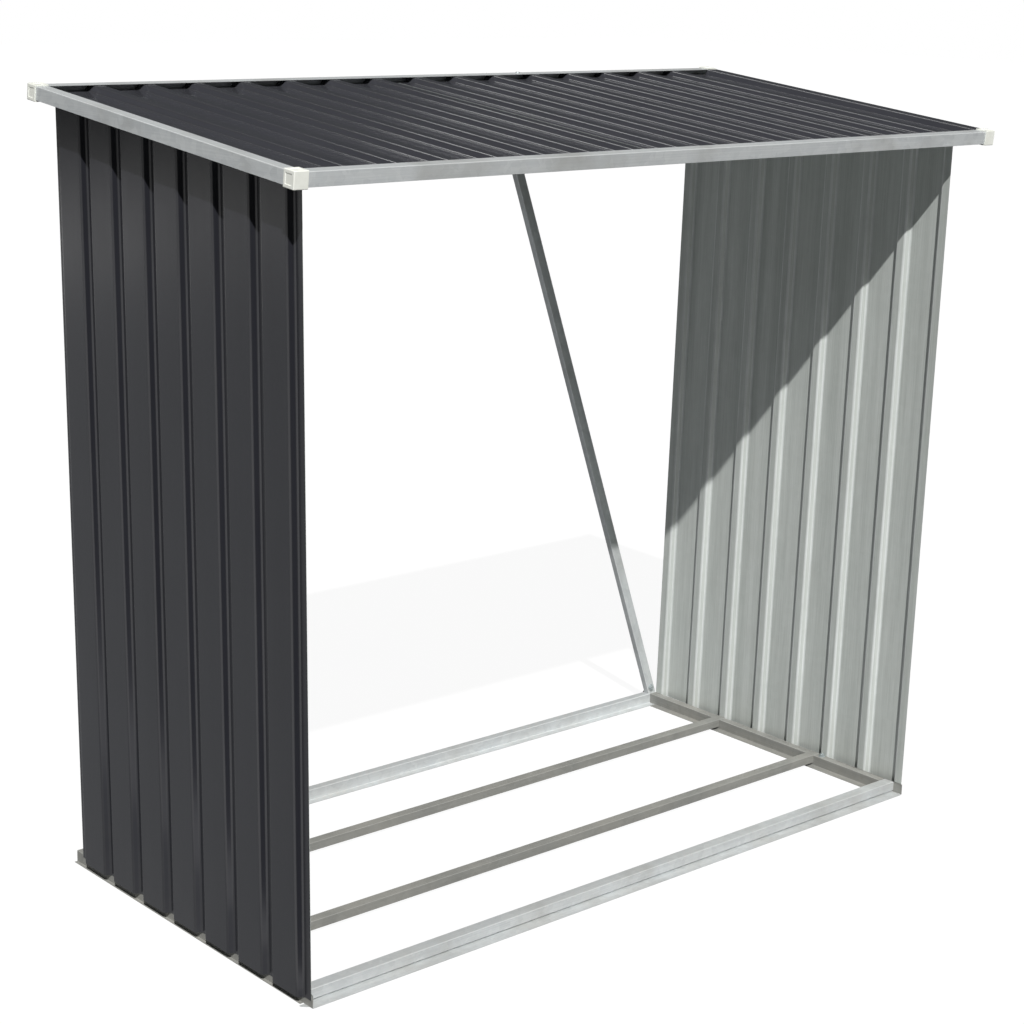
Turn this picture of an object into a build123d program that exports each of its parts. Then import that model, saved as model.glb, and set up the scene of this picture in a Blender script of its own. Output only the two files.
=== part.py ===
from build123d import *
import math
import os

# Sizes in millimetres. X runs along the store, Y from its front to its back, Z up.
# The origin is the middle of the footprint, on the ground.

# Base frame
base_length = 1630.0
base_back_reach = 25.5
rail_height = 24.0
rail_steel = 0.8
rail_top = 19.0
rail_flange = 18.0
rail_lip = 6.0
sill_flange = 24.0
sill_top = 24.0
sill_groove_height = 5.0
sill_groove_depth = 4.0
sill_overrun = 5.0
sill_mitre = 20.0
cross_rail_top = 21.0
cross_rail_drop = 17.0
cross_rail_front_place = 243.0
cross_rail_back_place = 541.0

# Ribbed wall sheets
sheet_steel = 0.5
rib_pitch = 107.5
rib_depth = 12.0
rib_flat = 21.0
rib_slope = 6.5
edge_flange = 21.0
wall_pans = 7
wall_front_gap = 3.0
wall_splay = 27.0
wall_foot_front = 14.5
wall_foot_back = 18.0

# Roof
roof_side_overhang = 77.5
roof_pitch_degrees = 5.8
roof_front_overhang = 56.0
roof_back_overhang = 0.0
roof_front_height = 1445.0
channel_face = 26.0
channel_flange = 25.0
channel_steel = 0.8
roof_rib_pitch = 108.5
roof_edge_pan = 110.0
lap_flange = 28.0
lap_tuck = 12.0
cap_reach = 26.0
cap_wall = 2.2
angle_flange = 20.0
angle_web = 24.0

# Braces
brace_face = 22.0
brace_flange = 15.0
brace_steel = 1.0
brace_foot_inset = 19.0
brace_head_place = 243.0
brace_head_drop = 3.0

# Clearances
fit_gap = 0.3
lap_gap = 0.1

# Worked out from the sizes above
rib_foot = rib_flat + 2 * rib_slope
pan_flat = rib_pitch - rib_foot
pan_foot = rib_pitch - rib_flat
wall_width = (wall_pans - 1) * rib_pitch + pan_foot + 2 * edge_flange
base_depth = wall_front_gap + wall_width + base_back_reach
roof_length = base_length + 2 * roof_side_overhang
roof_run = roof_front_overhang + wall_width + roof_back_overhang
roof_tilt = math.radians(roof_pitch_degrees)
roof_slope_length = roof_run / math.cos(roof_tilt)
cap_outside = cap_wall + fit_gap
cap_reach_forward = cap_outside * math.cos(roof_tilt) + (channel_face + cap_outside) * math.sin(roof_tilt)
front_reach = roof_front_overhang - wall_front_gap
roof_front = cap_reach_forward - (cap_reach_forward + front_reach + base_depth) / 2
base_front = roof_front + front_reach
base_back = base_front + base_depth
wall_front = base_front + wall_front_gap
wall_back = wall_front + wall_width
web_face = base_length / 2 - rail_lip
rail_inner_face = rail_lip + rail_top + rail_steel
roof_back_height = roof_front_height + roof_run * math.tan(roof_tilt)
wall_lean = math.atan2(wall_splay, roof_front_height)
lap_step = sheet_steel + lap_gap
pan_level = channel_face - channel_steel - fit_gap - lap_step - sheet_steel - rib_depth

os.makedirs("parts", exist_ok=True)


def finish(piece, name):
    piece.part.label = name
    export_step(piece.part, f"parts/{name}.step")


# Closed outline of a strip of sheet steel bent along the points
def strip_section(points, steel, side):
    with BuildSketch() as section:
        with BuildLine():
            Polyline(*points)
            offset(amount=steel, kind=Kind.INTERSECTION, side=side)
        make_face()
    return section.sketch


# Path of a ribbed sheet from start to end, raised by the depth at each centre
def ribbed_path(start, end, ribs, depth):
    points = [(start, 0)]
    for centre, flat, foot in ribs:
        points.append((centre - foot / 2, 0))
        points.append((centre - flat / 2, depth))
        points.append((centre + flat / 2, depth))
        points.append((centre + foot / 2, 0))
    points.append((end, 0))
    return points


# Base rail: inward ground flange, inner web, top flat, outer web and outward lip
rail_path = [
    (rail_lip + rail_top + rail_flange, 0),
    (rail_lip + rail_top, 0),
    (rail_lip + rail_top, rail_height - rail_steel),
    (rail_lip + rail_steel, rail_height - rail_steel),
    (rail_lip + rail_steel, 0),
    (0, 0),
]
rail_section = strip_section(rail_path, rail_steel, Side.RIGHT)
flange_reach = rail_lip + rail_top + rail_flange

# Side rails: only the outer web runs on beside the sill, and the flange is notched at the back
side_plane = Plane(origin=(base_length / 2, base_front, 0), x_dir=(-1, 0, 0), z_dir=(0, 1, 0))
sill_back = base_front + sill_flange + sill_top + rail_steel + fit_gap
flange_back = base_front + sill_flange + sill_groove_depth + rail_steel + fit_gap
notch_start = base_back - flange_reach - fit_gap
with BuildPart() as base_right_rail:
    with BuildSketch(side_plane):
        add(rail_section)
    extrude(amount=base_depth)
    with BuildSketch(Plane.XY):
        with Locations((web_face - rail_steel, sill_back)):
            Rectangle(base_length, 2 * base_depth, align=(Align.MAX, Align.MAX))
        with Locations((base_length / 2 - rail_inner_face, base_back)):
            Rectangle(rail_flange, base_back - notch_start, align=(Align.MAX, Align.MAX))
    extrude(amount=rail_height, mode=Mode.SUBTRACT)
    with BuildSketch(Plane.XY):
        with Locations((0, flange_back)):
            Rectangle(2 * base_length, base_depth, align=(Align.CENTER, Align.MAX))
    extrude(amount=rail_steel + fit_gap, mode=Mode.SUBTRACT)
finish(base_right_rail, "base_right_rail")

with BuildPart() as base_left_rail:
    add(base_right_rail.part.mirror(Plane.YZ))
finish(base_left_rail, "base_left_rail")

# Back rail, between the side rails' inner webs
back_length = base_length - 2 * (rail_inner_face + fit_gap)
back_plane = Plane(origin=(back_length / 2, base_back, 0), x_dir=(0, -1, 0), z_dir=(-1, 0, 0))
with BuildPart() as base_back_rail:
    with BuildSketch(back_plane):
        add(rail_section)
    extrude(amount=back_length)
finish(base_back_rail, "base_back_rail")

# Front sill: wide ground flange, a groove at the foot of its face, top flat and inner web
sill_path = [
    (sill_flange + sill_top, 0),
    (sill_flange + sill_top, rail_height - rail_steel),
    (sill_flange, rail_height - rail_steel),
    (sill_flange, sill_groove_height),
    (sill_flange + sill_groove_depth, sill_groove_height),
    (sill_flange + sill_groove_depth, 0),
    (0, 0),
]
sill_section = strip_section(sill_path, rail_steel, Side.RIGHT)
sill_end = web_face - rail_steel - fit_gap
sill_tip = base_length / 2 + sill_overrun
sill_plane = Plane(origin=(-sill_end, base_front, 0), x_dir=(0, 1, 0), z_dir=(1, 0, 0))
with BuildPart() as base_front_sill:
    with BuildSketch(sill_plane):
        add(sill_section)
    extrude(amount=2 * sill_end)
    # The ground flange runs on past the raised part and has cut corners
    with BuildSketch(Plane.XY):
        with BuildLine():
            Polyline(
                (-sill_tip, base_front + sill_flange),
                (-sill_tip, base_front + sill_mitre),
                (sill_mitre - sill_tip, base_front),
                (sill_tip - sill_mitre, base_front),
                (sill_tip, base_front + sill_mitre),
                (sill_tip, base_front + sill_flange),
                close=True,
            )
        make_face()
    extrude(amount=rail_steel)
finish(base_front_sill, "base_front_sill")

# Cross rails: top flange lapped on the side rails, hanging web cut short of them
cross_path = [
    (cross_rail_top, rail_height),
    (0, rail_height),
    (0, rail_height - cross_rail_drop),
]
cross_section = strip_section(cross_path, rail_steel, Side.RIGHT)
cross_length = 2 * (web_face - fit_gap)
cross_places = {"cross_rail_front": cross_rail_front_place, "cross_rail_back": cross_rail_back_place}
for cross_name, cross_place in cross_places.items():
    cross_origin = (-cross_length / 2, base_front + cross_place, 0)
    cross_plane = Plane(origin=cross_origin, x_dir=(0, 1, 0), z_dir=(1, 0, 0))
    with BuildPart() as cross_rail:
        with BuildSketch(cross_plane):
            add(cross_section)
        extrude(amount=cross_length)
        for side in (-1, 1):
            web_end = base_length / 2 - rail_inner_face - fit_gap
            with Locations((side * web_end, base_front + cross_place, rail_height)):
                Box(
                    base_length,
                    4 * rail_steel,
                    2 * rail_height,
                    align=(Align.MIN if side > 0 else Align.MAX, Align.CENTER, Align.MAX),
                    mode=Mode.SUBTRACT,
                )
    finish(cross_rail, cross_name)

# Roof frame plane: its underside, rising to the back
slope = (0, math.cos(roof_tilt), math.sin(roof_tilt))
normal = (0, -math.sin(roof_tilt), math.cos(roof_tilt))
roof_plane = Plane(origin=(0, roof_front, roof_front_height), x_dir=(1, 0, 0), z_dir=normal)

# Wall sheets: pans stand out, grooves and edge flanges lie against the side rails
pan_ribs = []
for pan in range(wall_pans):
    pan_ribs.append((edge_flange + pan_foot / 2 + pan * rib_pitch, pan_flat, pan_foot))
wall_section = strip_section(ribbed_path(0, wall_width, pan_ribs, rib_depth), sheet_steel, Side.LEFT)
wall_up = (-math.sin(wall_lean), 0, math.cos(wall_lean))
wall_plane = Plane(origin=(-web_face, wall_front, 0), x_dir=(0, 1, 0), z_dir=wall_up)
foot_slope = math.atan2(wall_foot_back - wall_foot_front, wall_width)
foot_normal = (0, -math.sin(foot_slope), math.cos(foot_slope))
foot_plane = Plane(origin=(0, wall_front, wall_foot_front), x_dir=(1, 0, 0), z_dir=foot_normal)
with BuildPart() as left_wall_sheet:
    with BuildSketch(wall_plane):
        add(wall_section)
    extrude(amount=roof_back_height + channel_face, both=True)
    split(bisect_by=roof_plane.offset(-fit_gap), keep=Keep.BOTTOM)
    split(bisect_by=foot_plane, keep=Keep.TOP)
finish(left_wall_sheet, "left_wall_sheet")

with BuildPart() as right_wall_sheet:
    add(left_wall_sheet.part.mirror(Plane.YZ))
finish(right_wall_sheet, "right_wall_sheet")

# Wall top angles: web on the sheet's inner face, flange under the roof sheet
angle_rise = pan_level - fit_gap - angle_flange * math.sin(wall_lean)
angle_path = [
    (0, angle_rise - angle_web),
    (0, angle_rise),
    (angle_flange, angle_rise),
]
angle_section = strip_section(angle_path, channel_steel, Side.RIGHT)
wall_inward = Vector(math.cos(wall_lean), 0, math.sin(wall_lean))
angle_run = wall_inward.cross(Vector(*normal)).normalized()
if angle_run.Y < 0:
    angle_run = angle_run * -1
angle_x = -web_face - roof_front_height * math.tan(wall_lean)
angle_origin = (angle_x, roof_front, roof_front_height)
angle_plane = Plane(origin=angle_origin, x_dir=wall_inward, z_dir=angle_run * -1)
angle_start = max(channel_flange + fit_gap, roof_front_overhang / math.cos(roof_tilt))
angle_end = roof_slope_length - channel_flange - fit_gap
with BuildPart() as left_wall_angle:
    with BuildSketch(angle_plane.offset(-angle_start)):
        add(angle_section)
    extrude(amount=angle_start - angle_end)
finish(left_wall_angle, "left_wall_angle")

with BuildPart() as right_wall_angle:
    add(left_wall_angle.part.mirror(Plane.YZ))
finish(right_wall_angle, "right_wall_angle")

# Roof frame: four channels that open inwards
channel_path = [
    (channel_flange, 0),
    (0, 0),
    (0, channel_face),
    (channel_flange, channel_face),
]
channel_section = strip_section(channel_path, channel_steel, Side.RIGHT)
front_channel_plane = Plane(
    origin=(-roof_length / 2, roof_front, roof_front_height), x_dir=slope, z_dir=(1, 0, 0)
)
with BuildPart() as roof_front_channel:
    with BuildSketch(front_channel_plane):
        add(channel_section)
    extrude(amount=roof_length)
finish(roof_front_channel, "roof_front_channel")

back_origin = (roof_length / 2, roof_front + roof_run, roof_back_height)
back_inward = (0, -math.cos(roof_tilt), -math.sin(roof_tilt))
back_channel_plane = Plane(origin=back_origin, x_dir=back_inward, z_dir=(-1, 0, 0))
with BuildPart() as roof_back_channel:
    with BuildSketch(back_channel_plane):
        add(channel_section)
    extrude(amount=roof_length)
finish(roof_back_channel, "roof_back_channel")

side_channel_start = channel_flange + fit_gap
side_channel_length = roof_slope_length - 2 * side_channel_start
left_channel_origin = Vector(-roof_length / 2, roof_front, roof_front_height)
left_channel_origin = left_channel_origin + Vector(*slope) * (side_channel_start + side_channel_length)
left_channel_plane = Plane(
    origin=left_channel_origin, x_dir=(1, 0, 0), z_dir=back_inward
)
with BuildPart() as roof_left_channel:
    with BuildSketch(left_channel_plane):
        add(channel_section)
    extrude(amount=side_channel_length)
finish(roof_left_channel, "roof_left_channel")

with BuildPart() as roof_right_channel:
    add(roof_left_channel.part.mirror(Plane.YZ))
finish(roof_right_channel, "roof_right_channel")

# Corner caps: plastic shells that slip over the frame's corners
with BuildPart() as front_left_cap:
    with BuildSketch(roof_plane.offset(-cap_outside)):
        with Locations((-roof_length / 2 - cap_outside, -cap_outside)):
            Rectangle(cap_reach + cap_outside, cap_reach + cap_outside, align=Align.MIN)
    extrude(amount=channel_face + 2 * cap_outside)
    with BuildSketch(roof_plane.offset(-fit_gap)):
        with Locations((-roof_length / 2 - fit_gap, -fit_gap)):
            Rectangle(2 * cap_reach, 2 * cap_reach, align=Align.MIN)
    extrude(amount=channel_face + 2 * fit_gap, mode=Mode.SUBTRACT)
finish(front_left_cap, "front_left_cap")

with BuildPart() as front_right_cap:
    add(front_left_cap.part.mirror(Plane.YZ))
finish(front_right_cap, "front_right_cap")

frame_middle = Plane(
    origin=Vector(0, roof_front, roof_front_height) + Vector(*slope) * (roof_slope_length / 2),
    x_dir=(1, 0, 0),
    z_dir=slope,
)
with BuildPart() as back_left_cap:
    add(front_left_cap.part.mirror(frame_middle))
finish(back_left_cap, "back_left_cap")

with BuildPart() as back_right_cap:
    add(back_left_cap.part.mirror(Plane.YZ))
finish(back_right_cap, "back_right_cap")

# Roof sheets: ribs up, the right sheet lapped over the left one on the middle rib
sheet_edge = roof_length / 2 - channel_steel - fit_gap
slope_angle = math.atan2(rib_depth, rib_slope)
lap_ease = 2 * lap_step * math.tan(slope_angle / 2)
roof_ribs_each_side = int((sheet_edge - roof_edge_pan) / roof_rib_pitch)
left_ribs = []
for place in range(-roof_ribs_each_side, 1):
    left_ribs.append((place * roof_rib_pitch, rib_flat, rib_foot))
left_path = ribbed_path(-sheet_edge, rib_foot / 2 + lap_tuck, left_ribs, rib_depth)
right_ribs = [(0, rib_flat + lap_ease, rib_foot + lap_ease)]
for place in range(1, roof_ribs_each_side + 1):
    right_ribs.append((place * roof_rib_pitch, rib_flat, rib_foot))
# The right sheet's edge rises beside the last pan and lies over the right channel
edge_rise = channel_face + fit_gap - pan_level - lap_step
edge_top = roof_length / 2 - channel_flange - fit_gap
edge_foot = edge_top - edge_rise * rib_slope / rib_depth
right_path = ribbed_path(-rib_foot / 2 - lap_flange, edge_foot, right_ribs, rib_depth)
right_path = right_path + [(edge_top, edge_rise), (roof_length / 2, edge_rise)]
edge_notch = max(cap_reach, channel_flange) + fit_gap
sheet_start = channel_steel + fit_gap
sheet_length = roof_slope_length - 2 * sheet_start
sheet_levels = {"roof_sheet_left": (left_path, pan_level), "roof_sheet_right": (right_path, pan_level + lap_step)}
for sheet_name, (sheet_path, sheet_level) in sheet_levels.items():
    sheet_origin = Vector(0, roof_front, roof_front_height) + Vector(*normal) * sheet_level
    sheet_origin = sheet_origin + Vector(*slope) * (sheet_start + sheet_length)
    sheet_plane = Plane(origin=sheet_origin, x_dir=(1, 0, 0), z_dir=back_inward)
    with BuildPart() as roof_sheet:
        with BuildSketch(sheet_plane):
            add(strip_section(sheet_path, sheet_steel, Side.LEFT))
        extrude(amount=sheet_length)
        # The raised edge stops short of the front and back channels and their caps
        if sheet_name == "roof_sheet_right":
            with BuildSketch(roof_plane):
                for notch_place in (0, roof_slope_length - edge_notch):
                    with Locations((edge_foot, notch_place)):
                        Rectangle(roof_length, edge_notch, align=Align.MIN)
            extrude(amount=2 * channel_face, mode=Mode.SUBTRACT)
    finish(roof_sheet, sheet_name)

# Braces: angle strips in the open back, from the base's corners up behind the back channel
brace_front = wall_back + roof_back_overhang + fit_gap
brace_foot_place = base_length / 2 - brace_foot_inset
brace_lean = math.atan2(brace_foot_place - brace_head_place, roof_back_height - rail_height)
brace_up = (-math.sin(brace_lean), 0, math.cos(brace_lean))
brace_across = (math.cos(brace_lean), 0, math.sin(brace_lean))
brace_plane = Plane(origin=(brace_foot_place, brace_front, rail_height), x_dir=brace_across, z_dir=brace_up)
brace_path = [
    (brace_face / 2, 0),
    (-brace_face / 2, 0),
    (-brace_face / 2, brace_flange),
]
with BuildPart() as brace_right:
    with BuildSketch(brace_plane):
        add(strip_section(brace_path, brace_steel, Side.RIGHT))
    extrude(amount=2 * roof_back_height, both=True)
    split(bisect_by=roof_plane.offset(channel_face - brace_head_drop), keep=Keep.BOTTOM)
    split(bisect_by=Plane.XY.offset(rail_height), keep=Keep.TOP)
finish(brace_right, "brace_right")

with BuildPart() as brace_left:
    add(brace_right.part.mirror(Plane.YZ))
finish(brace_left, "brace_left")
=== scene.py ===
import bpy
import bmesh
import math
from mathutils import Matrix, Vector


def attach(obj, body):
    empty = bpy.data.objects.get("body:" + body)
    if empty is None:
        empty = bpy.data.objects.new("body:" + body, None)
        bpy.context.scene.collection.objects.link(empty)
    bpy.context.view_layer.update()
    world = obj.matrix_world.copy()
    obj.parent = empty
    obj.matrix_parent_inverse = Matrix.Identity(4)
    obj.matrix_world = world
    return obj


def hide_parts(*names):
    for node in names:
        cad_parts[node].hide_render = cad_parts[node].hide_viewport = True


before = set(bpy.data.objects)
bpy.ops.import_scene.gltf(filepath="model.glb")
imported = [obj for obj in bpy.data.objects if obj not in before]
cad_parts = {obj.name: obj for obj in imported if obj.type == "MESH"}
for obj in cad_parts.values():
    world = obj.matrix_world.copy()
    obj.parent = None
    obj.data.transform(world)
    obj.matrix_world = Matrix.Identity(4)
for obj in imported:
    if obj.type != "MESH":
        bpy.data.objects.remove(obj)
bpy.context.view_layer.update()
print("frame loaded,", len(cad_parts), "nodes")


# small helpers
def deselectAll():
    if bpy.context.object and bpy.context.object.mode != "OBJECT":
        bpy.ops.object.mode_set(mode="OBJECT")
    bpy.ops.object.select_all(action="DESELECT")


def makeActive(piece):
    deselectAll()
    piece.select_set(True)
    bpy.context.view_layer.objects.active = piece


def openEdit(piece, part="FACE"):
    makeActive(piece)
    bpy.ops.object.mode_set(mode="EDIT")
    bpy.ops.mesh.select_mode(type=part)
    bpy.ops.mesh.select_all(action="DESELECT")
    return bmesh.from_edit_mesh(piece.data)


def showSelection(piece, mesh):
    mesh.select_flush_mode()
    bmesh.update_edit_mesh(piece.data, loop_triangles=False, destructive=False)


# the open mesh again after a mesh tool, with nothing selected
def openEditAgain(piece, part):
    bpy.ops.mesh.select_all(action="DESELECT")
    bpy.ops.mesh.select_mode(type=part)
    return bmesh.from_edit_mesh(piece.data)


def closeEdit():
    bpy.ops.object.mode_set(mode="OBJECT")


def pickParts(piece, mesh, parts, test):
    picked = 0
    for part in parts:
        part.select_set(bool(test(part)))
        picked += part.select
    showSelection(piece, mesh)
    return picked


def pickFaces(piece, mesh, test):
    return pickParts(piece, mesh, mesh.faces, test)


def pickEdges(piece, mesh, test):
    return pickParts(piece, mesh, mesh.edges, test)


def applyModifiers(piece):
    makeActive(piece)
    for modifier in list(piece.modifiers):
        bpy.ops.object.modifier_apply(modifier=modifier.name)


def smoothShade(piece, degrees):
    makeActive(piece)
    bpy.ops.object.shade_smooth_by_angle(angle=math.radians(degrees))


# flat faces keep their own direction, and only the rolled bends turn
def settleFlats(piece):
    settle = piece.modifiers.new("flats", "WEIGHTED_NORMAL")
    settle.keep_sharp = True
    applyModifiers(piece)


def copyPiece(source, name):
    twin = bpy.data.objects.new(name, source.data.copy())
    twin.data.name = name
    bpy.context.scene.collection.objects.link(twin)
    return twin


def applyPlace(piece):
    makeActive(piece)
    bpy.ops.object.transform_apply(location=True, rotation=True, scale=True)


def coverPiece(piece, material, smoothAngle):
    piece.data.materials.clear()
    piece.data.materials.append(material)
    smoothShade(piece, smoothAngle)


def declare(piece, slotName, *nodes):
    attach(piece, "root")
    if nodes:
        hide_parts(*nodes)


# the triangles of a CAD copy become whole faces again, up to these gaps and angles
mergeLimits = {"gap": 0.00002, "degrees": 0.6}


# a copy of a CAD piece to model on, without the custom values of its mesh
def copyNode(nodeName, name):
    piece = copyPiece(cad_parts[nodeName], name)
    for key in list(piece.data.keys()):
        del piece.data[key]
    return piece


def mergeFaces(piece, limits):
    openEdit(piece)
    bpy.ops.mesh.customdata_custom_splitnormals_clear()
    bpy.ops.mesh.select_all(action="SELECT")
    bpy.ops.mesh.remove_doubles(threshold=limits["gap"])
    bpy.ops.mesh.dissolve_limited(angle_limit=math.radians(limits["degrees"]))
    return openEditAgain(piece, "EDGE")


# camera, at the photograph's viewing angle
cameraSetup = {
    "place": (-2.8930, -3.2145, 1.8244),
    "azimuth": 0.72508,
    "downTilt": 0.22353,
    "roll": 0.02586,
    "lens": 76.85,
    "shiftX": -0.00117,
    "shiftY": -0.0680,
}


def addCamera(setup):
    turn, tilt, roll = setup["azimuth"], setup["downTilt"], setup["roll"]
    forward = Vector((math.sin(turn) * math.cos(tilt), math.cos(turn) * math.cos(tilt), -math.sin(tilt)))
    level = Vector((math.cos(turn), -math.sin(turn), 0.0))
    upright = level.cross(forward)
    across = level * math.cos(roll) + upright * math.sin(roll)
    up = upright * math.cos(roll) - level * math.sin(roll)
    camera = bpy.data.objects.new("camera", bpy.data.cameras.new("camera"))
    bpy.context.scene.collection.objects.link(camera)
    facing = Matrix((across, up, -forward)).transposed().to_4x4()
    camera.matrix_world = Matrix.Translation(setup["place"]) @ facing
    camera.data.sensor_width = 36.0
    camera.data.lens = setup["lens"]
    camera.data.shift_x = setup["shiftX"]
    camera.data.shift_y = setup["shiftY"]
    camera.data.clip_start = 0.05
    camera.data.clip_end = 100.0
    bpy.context.scene.camera = camera


addCamera(cameraSetup)


# shader effects that several finishes share: each group takes a vector first
def newGroup(name, numbers, masks):
    group = bpy.data.node_groups.new(name, "ShaderNodeTree")
    group.interface.new_socket(name="Vector", in_out="INPUT", socket_type="NodeSocketVector")
    for label, value in numbers.items():
        socket = group.interface.new_socket(name=label, in_out="INPUT", socket_type="NodeSocketFloat")
        socket.default_value = value
    for label in masks:
        group.interface.new_socket(name=label, in_out="OUTPUT", socket_type="NodeSocketFloat")
    start = group.nodes.new("NodeGroupInput")
    start.location = (-900, 0)
    end = group.nodes.new("NodeGroupOutput")
    end.location = (700, 0)
    return group, start, end


def addNode(tree, kind, place, **values):
    node = tree.nodes.new(kind)
    node.location = place
    for key, value in values.items():
        if hasattr(node, key):
            setattr(node, key, value)
        else:
            node.inputs[key].default_value = value
    return node


def addMath(tree, operation, place, first, second=None, clamp=False):
    node = tree.nodes.new("ShaderNodeMath")
    node.operation = operation
    node.location = place
    node.use_clamp = clamp
    for spot, value in enumerate((first, second)):
        if value is None:
            continue
        if isinstance(value, (int, float)):
            node.inputs[spot].default_value = value
        else:
            tree.links.new(value, node.inputs[spot])
    return node.outputs[0]


def addRange(tree, place, value, low, high, newLow, newHigh):
    node = tree.nodes.new("ShaderNodeMapRange")
    node.location = place
    tree.links.new(value, node.inputs["Value"])
    for label, number in (("From Min", low), ("From Max", high), ("To Min", newLow), ("To Max", newHigh)):
        node.inputs[label].default_value = number
    return node.outputs["Result"]


def addMix(tree, place, factor, first, second, blend="MIX"):
    node = tree.nodes.new("ShaderNodeMix")
    node.data_type = "RGBA"
    node.blend_type = blend
    node.location = place
    for spot, value in ((0, factor), (6, first), (7, second)):
        if isinstance(value, (int, float)):
            node.inputs[spot].default_value = value
        elif isinstance(value, tuple):
            node.inputs[spot].default_value = value + (1.0,)
        else:
            tree.links.new(value, node.inputs[spot])
    return node.outputs[2]


# fine lines left by the rolls, along the stretched axis of the vector
def rolledLinesGroup():
    group, start, end = newGroup("rolledLines", {"Fine": 420.0, "Broad": 38.0}, ["Lines", "Bands"])
    fine = addNode(group, "ShaderNodeTexNoise", (-500, 160), Detail=1.0, Roughness=0.62)
    broad = addNode(group, "ShaderNodeTexNoise", (-500, -160), Detail=2.0, Roughness=0.55)
    group.links.new(start.outputs["Vector"], fine.inputs["Vector"])
    group.links.new(start.outputs["Vector"], broad.inputs["Vector"])
    group.links.new(start.outputs["Fine"], fine.inputs["Scale"])
    group.links.new(start.outputs["Broad"], broad.inputs["Scale"])
    lines = addRange(group, (0, 160), fine.outputs["Fac"], 0.3, 0.7, 0.0, 1.0)
    bands = addRange(group, (0, -160), broad.outputs["Fac"], 0.3, 0.7, 0.0, 1.0)
    group.links.new(lines, end.inputs["Lines"])
    group.links.new(bands, end.inputs["Bands"])
    return group


# crystal patches of hot-dip zinc, and the cloudy tone over them
def zincBloomGroup():
    group, start, end = newGroup("zincBloom", {"Size": 90.0, "Cloud": 6.0}, ["Crystals", "Clouds"])
    warp = addNode(group, "ShaderNodeTexNoise", (-760, -240), Scale=60.0, Detail=2.0)
    group.links.new(start.outputs["Vector"], warp.inputs["Vector"])
    push = addNode(group, "ShaderNodeVectorMath", (-560, -160), operation="SCALE")
    push.inputs["Scale"].default_value = 0.012
    group.links.new(warp.outputs["Color"], push.inputs[0])
    moved = addNode(group, "ShaderNodeVectorMath", (-400, -60), operation="ADD")
    group.links.new(start.outputs["Vector"], moved.inputs[0])
    group.links.new(push.outputs[0], moved.inputs[1])
    cells = addNode(group, "ShaderNodeTexVoronoi", (-220, 160))
    group.links.new(moved.outputs[0], cells.inputs["Vector"])
    group.links.new(start.outputs["Size"], cells.inputs["Scale"])
    tone = group.nodes.new("ShaderNodeSeparateColor")
    tone.location = (0, 160)
    group.links.new(cells.outputs["Color"], tone.inputs[0])
    clouds = addNode(group, "ShaderNodeTexNoise", (-220, -200), Detail=3.0, Roughness=0.6)
    group.links.new(start.outputs["Vector"], clouds.inputs["Vector"])
    group.links.new(start.outputs["Cloud"], clouds.inputs["Scale"])
    cloudTone = addRange(group, (0, -200), clouds.outputs["Fac"], 0.32, 0.68, 0.0, 1.0)
    group.links.new(tone.outputs[0], end.inputs["Crystals"])
    group.links.new(cloudTone, end.inputs["Clouds"])
    return group


# the rolled bends of the sheet, painted lighter: partly a worn finish, partly a painted highlight where the
# bends catch the light
def bendRubGroup():
    group, start, end = newGroup("bendRub", {"Patches": 14.0, "Amount": 1.0}, ["Rub"])
    bend = addNode(group, "ShaderNodeAttribute", (-600, 160), attribute_name="bend")
    patches = addNode(group, "ShaderNodeTexNoise", (-600, -120), Detail=4.0, Roughness=0.6)
    group.links.new(start.outputs["Vector"], patches.inputs["Vector"])
    group.links.new(start.outputs["Patches"], patches.inputs["Scale"])
    patchy = addRange(group, (-300, -120), patches.outputs["Fac"], 0.3, 0.65, 0.45, 1.0)
    sheenAndRubMask = addMath(group, "MULTIPLY", (-60, 60), bend.outputs["Fac"], patchy)
    amount = addMath(group, "MULTIPLY", (200, 60), sheenAndRubMask, start.outputs["Amount"], clamp=True)
    group.links.new(amount, end.inputs["Rub"])
    return group


# thin dust that settles on faces turned upwards, and splashes near the ground
def dustGroup():
    group, start, end = newGroup("dust", {"Top": 0.3, "Splash": 0.3}, ["Dust"])
    side = group.nodes.new("ShaderNodeNewGeometry")
    side.location = (-900, 260)
    split = group.nodes.new("ShaderNodeSeparateXYZ")
    split.location = (-700, 260)
    group.links.new(side.outputs["Normal"], split.inputs[0])
    upward = addRange(group, (-500, 260), split.outputs["Z"], 0.3, 1.0, 0.0, 1.0)
    patches = addNode(group, "ShaderNodeTexNoise", (-700, -40), Scale=9.0, Detail=3.0, Roughness=0.65)
    group.links.new(start.outputs["Vector"], patches.inputs["Vector"])
    patchy = addRange(group, (-500, -40), patches.outputs["Fac"], 0.35, 0.7, 0.15, 1.0)
    height = group.nodes.new("ShaderNodeSeparateXYZ")
    height.location = (-700, -320)
    group.links.new(start.outputs["Vector"], height.inputs[0])
    low = addRange(group, (-500, -320), height.outputs["Z"], 0.0, 0.22, 1.0, 0.0)
    lowSquare = addMath(group, "MULTIPLY", (-300, -320), low, low)
    topDust = addMath(group, "MULTIPLY", (-100, 260), upward, start.outputs["Top"])
    lowDust = addMath(group, "MULTIPLY", (-100, -320), lowSquare, start.outputs["Splash"])
    both = addMath(group, "ADD", (100, 0), topDust, lowDust)
    dust = addMath(group, "MULTIPLY", (300, 0), both, patchy, clamp=True)
    group.links.new(dust, end.inputs["Dust"])
    return group


rolledLines = rolledLinesGroup()
zincBloom = zincBloomGroup()
bendRub = bendRubGroup()
dustLayer = dustGroup()


def placeGroup(tree, group, place, **values):
    node = tree.nodes.new("ShaderNodeGroup")
    node.node_tree = group
    node.location = place
    for key, value in values.items():
        node.inputs[key].default_value = value
    return node


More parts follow.
